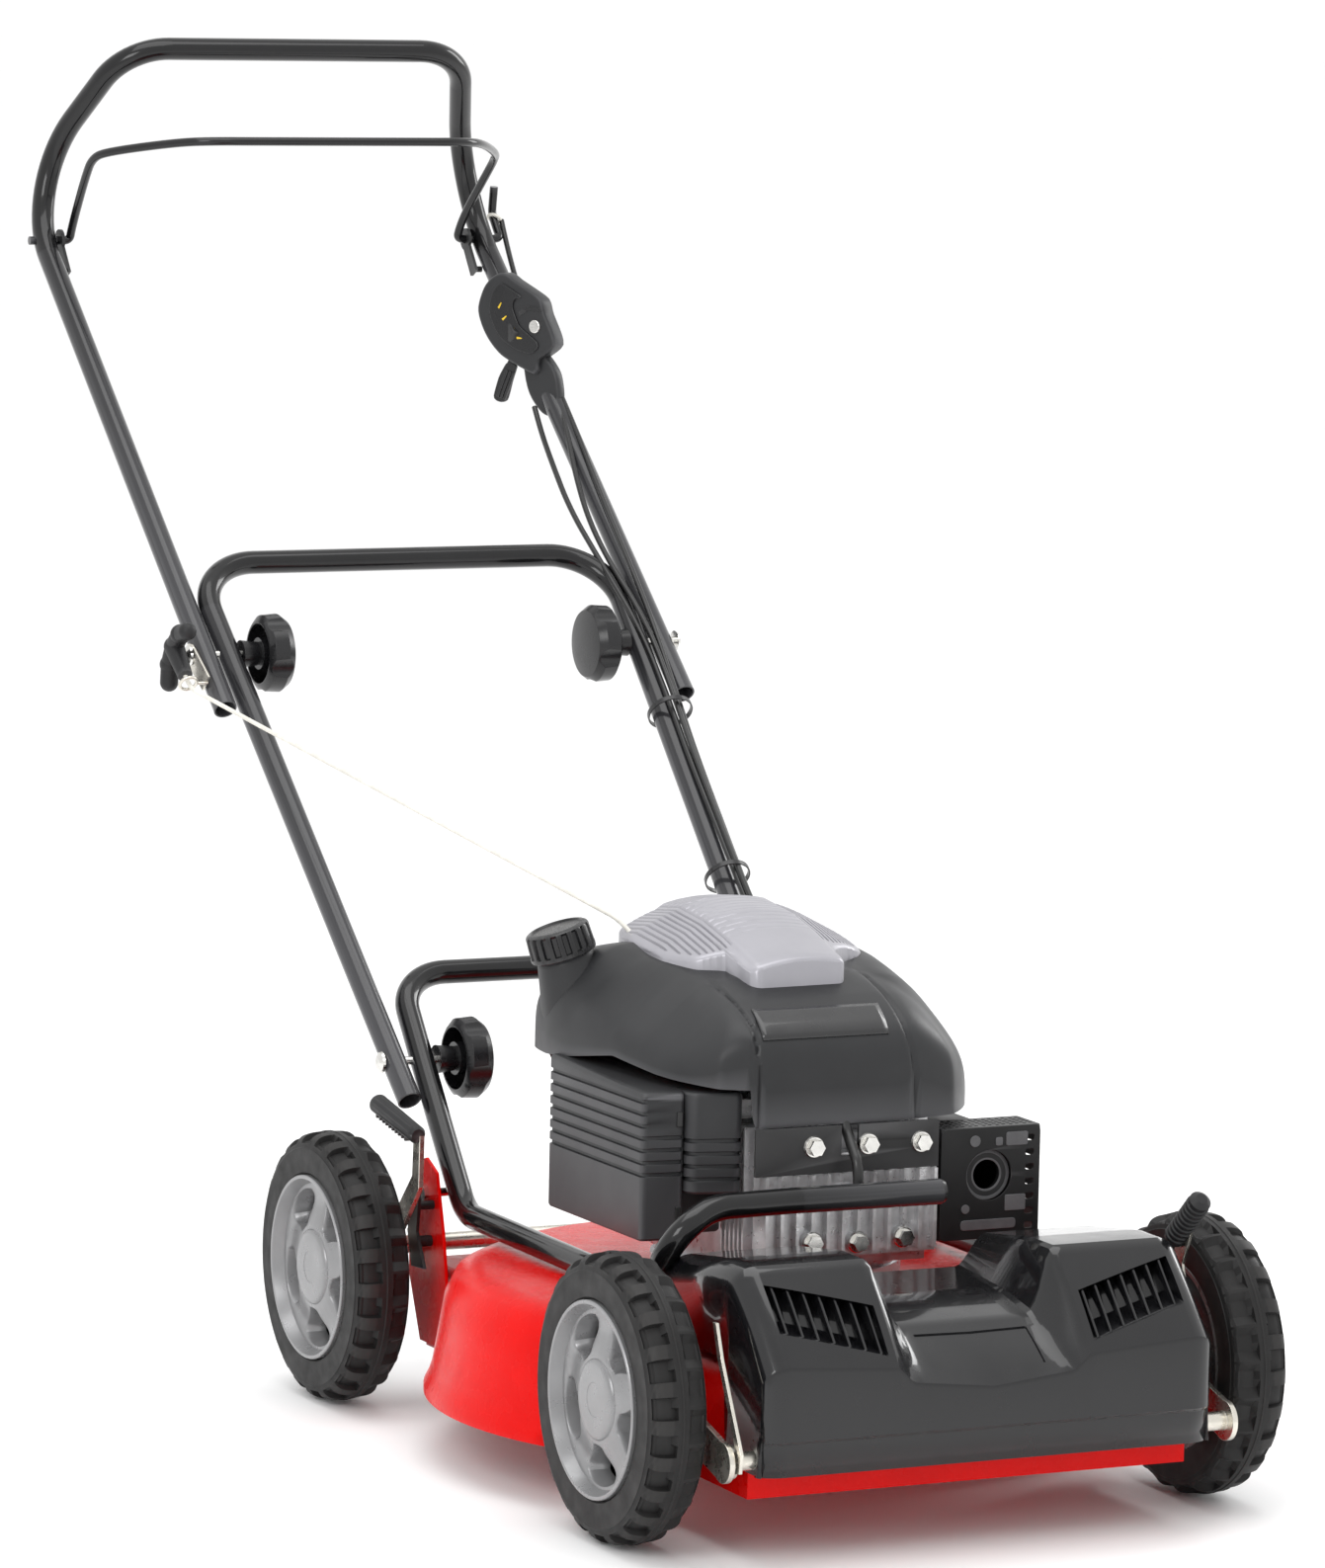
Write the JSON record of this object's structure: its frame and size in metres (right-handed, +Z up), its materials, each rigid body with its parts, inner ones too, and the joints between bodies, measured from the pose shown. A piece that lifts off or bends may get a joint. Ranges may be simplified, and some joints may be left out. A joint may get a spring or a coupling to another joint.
{
  "type": "push lawn mower",
  "caption": "Petrol rotary lawn mower pushed by hand: red steel deck, black front cowl, vertical-shaft engine, spoked wheels, folding tubular handle and control bail.",
  "frame": {"origin": "on the ground under the middle of the mower's plan, halfway between its foremost and rearmost points", "axes": "+Z up; -Y is the front, the way the mower travels; the handle reaches back along +Y; +X is the mower's right-hand side seen from in front"},
  "size_m": [0.602, 1.6128, 1.185],
  "materials": {
    "red_paint": "gloss powder coat",
    "cowl_black": "high gloss",
    "tube_black": "gloss paint",
    "satin_black": "satin paint",
    "housing_grey": "fine grain",
    "cover_silver": "satin",
    "cap_black": "satin",
    "cast_alloy": "as cast",
    "bolt_zinc": "bright plated",
    "zinc_plate": "plated",
    "steel": "machined",
    "tyre_black": "moulded rubber",
    "rim_silver": "satin metallic",
    "grip_black": "moulded",
    "cable_black": "smooth",
    "rope_white": "braided"
  },
  "bodies": {
    "chassis": {"deck": "red_paint", "rear_brackets": "red_paint", "bracket_bolts": "bolt_zinc", "front_cowl": "cowl_black", "lower_frame": "tube_black", "frame_end_cap": "cap_black", "lower_joint_bolts": "bolt_zinc", "crankcase": "cast_alloy", "cylinder_head": "cast_alloy", "head_bolts": "bolt_zinc", "heat_shield": "satin_black", "spark_plug": "steel", "ignition_lead": "cable_black", "engine_shroud": "housing_grey", "engine_cover": "cover_silver", "fuel_tank": "housing_grey", "air_filter_cover": "housing_grey", "muffler": "satin_black", "muffler_guard": "satin_black", "height_sectors": "satin_black", "flap_rod": "steel", "starter_rope": "rope_white"},
    "rotor": {"crankshaft": "steel", "flywheel": "cast_alloy", "blade_hub": "cast_alloy", "blade": "steel", "blade_bolt": "bolt_zinc"},
    "piston": {"piston": "cast_alloy"},
    "fuel_cap": {"fuel_cap": "cap_black"},
    "rear_flap": {"rear_flap": "cap_black"},
    "lower_knob_left": {"lower_knob_left": "cap_black"},
    "lower_knob_right": {"lower_knob_right": "cap_black"},
    "middle_handle": {"middle_handle": "tube_black", "upper_joint_bolts": "bolt_zinc", "rope_guide": "zinc_plate", "cable_ties": "cap_black", "throttle_cable": "cable_black", "brake_cable": "cable_black"},
    "upper_handle": {"upper_handle": "tube_black", "bail_clips": "satin_black", "throttle_housing": "cap_black"},
    "upper_knob_left": {"upper_knob_left": "cap_black"},
    "upper_knob_right": {"upper_knob_right": "cap_black"},
    "control_bail": {"control_bail": "tube_black"},
    "throttle_lever": {"throttle_lever": "cap_black"},
    "starter_grip": {"starter_grip": "grip_black"},
    "starter_pulley": {"starter_pulley": "cap_black"},
    "front_axle": {"front_axle": "zinc_plate", "front_lever_grip": "grip_black", "front_strap": "zinc_plate"},
    "rear_axle": {"rear_axle": "zinc_plate", "rear_lever_grip": "grip_black"},
    "wheel_front_left": {"tyre_front_left": "tyre_black", "rim_front_left": "rim_silver"},
    "wheel_front_right": {"tyre_front_right": "tyre_black", "rim_front_right": "rim_silver"},
    "wheel_rear_left": {"tyre_rear_left": "tyre_black", "rim_rear_left": "rim_silver"},
    "wheel_rear_right": {"tyre_rear_right": "tyre_black", "rim_rear_right": "rim_silver"}
  },
  "joints": [
    {"name": "front_height", "type": "hinge", "parent": "chassis", "child": "front_axle", "pos_m": [0, -0.7845, 0.088], "axis": [1, 0, 0], "range_deg": [-10, 0]},
    {"name": "rear_height", "type": "hinge", "parent": "chassis", "child": "rear_axle", "pos_m": [0, -0.1045, 0.142], "axis": [1, 0, 0], "range_deg": [-24, 0]},
    {"name": "blade_spin", "type": "hinge", "parent": "chassis", "child": "rotor", "pos_m": [0, -0.4065, 0.066], "axis": [0, 0, 1], "continuous": true},
    {"name": "piston_stroke", "type": "slide", "parent": "chassis", "child": "piston", "axis": [0, 1, 0], "range_m": [0, 0.044]},
    {"name": "fuel_cap_turn", "type": "hinge", "parent": "chassis", "child": "fuel_cap", "pos_m": [-0.164, -0.3175, 0.429], "axis": [-0.3064, 0.0613, 0.9499], "continuous": true},
    {"name": "flap_swing", "type": "hinge", "parent": "chassis", "child": "rear_flap", "pos_m": [0, -0.1055, 0.117], "axis": [1, 0, 0], "range_deg": [0, 70]},
    {"name": "lower_fold", "type": "hinge", "parent": "chassis", "child": "middle_handle", "pos_m": [0, -0.0245, 0.292], "axis": [1, 0, 0], "range_deg": [0, 115], "deforming": ["throttle_cable", "brake_cable", "starter_rope"]},
    {"name": "upper_fold", "type": "hinge", "parent": "middle_handle", "child": "upper_handle", "pos_m": [0, 0.3385, 0.621], "axis": [1, 0, 0], "range_deg": [-100, 0], "deforming": ["throttle_cable", "brake_cable"]},
    {"name": "lower_knob_left_turn", "type": "hinge", "parent": "chassis", "child": "lower_knob_left", "pos_m": [-0.13, -0.0245, 0.292], "axis": [1, 0, 0], "continuous": true},
    {"name": "lower_knob_right_turn", "type": "hinge", "parent": "chassis", "child": "lower_knob_right", "pos_m": [0.13, -0.0245, 0.292], "axis": [1, 0, 0], "continuous": true},
    {"name": "upper_knob_left_turn", "type": "hinge", "parent": "middle_handle", "child": "upper_knob_left", "pos_m": [-0.176, 0.3385, 0.621], "axis": [1, 0, 0], "continuous": true},
    {"name": "upper_knob_right_turn", "type": "hinge", "parent": "middle_handle", "child": "upper_knob_right", "pos_m": [0.176, 0.3385, 0.621], "axis": [1, 0, 0], "continuous": true},
    {"name": "bail_pull", "type": "hinge", "parent": "upper_handle", "child": "control_bail", "pos_m": [0, 0.7735, 0.984], "axis": [1, 0, 0], "range_deg": [-26, 0], "stiffness_Nm_per_rad": 0.8, "springref_deg": 22.92},
    {"name": "throttle_turn", "type": "hinge", "parent": "upper_handle", "child": "throttle_lever", "pos_m": [0.207, 0.6555, 0.908], "axis": [1, 0, 0], "range_deg": [-25, 0]},
    {"name": "starter_pull", "type": "slide", "parent": "middle_handle", "child": "starter_grip", "axis": [0, 0.768, 0.6405], "range_m": [0, 0.15], "stiffness_N_per_m": 60, "springref_m": -0.1, "deforming": ["starter_rope"]},
    {"name": "starter_pulley_turn", "type": "hinge", "parent": "chassis", "child": "starter_pulley", "pos_m": [0, -0.3665, 0.387], "axis": [0, 0, 1], "range_deg": [0, 300]},
    {"name": "wheel_front_left_spin", "type": "hinge", "parent": "front_axle", "child": "wheel_front_left", "pos_m": [-0.268, -0.6665, 0.12], "axis": [1, 0, 0], "continuous": true},
    {"name": "wheel_front_right_spin", "type": "hinge", "parent": "front_axle", "child": "wheel_front_right", "pos_m": [0.268, -0.6665, 0.12], "axis": [1, 0, 0], "continuous": true},
    {"name": "wheel_rear_left_spin", "type": "hinge", "parent": "rear_axle", "child": "wheel_rear_left", "pos_m": [-0.268, -0.0695, 0.12], "axis": [1, 0, 0], "continuous": true},
    {"name": "wheel_rear_right_spin", "type": "hinge", "parent": "rear_axle", "child": "wheel_rear_right", "pos_m": [0.268, -0.0695, 0.12], "axis": [1, 0, 0], "continuous": true}
  ],
  "couplings": [
    {"joint": "starter_pulley_turn", "follows": "starter_pull", "rad_per_m": 33.333}
  ]
}
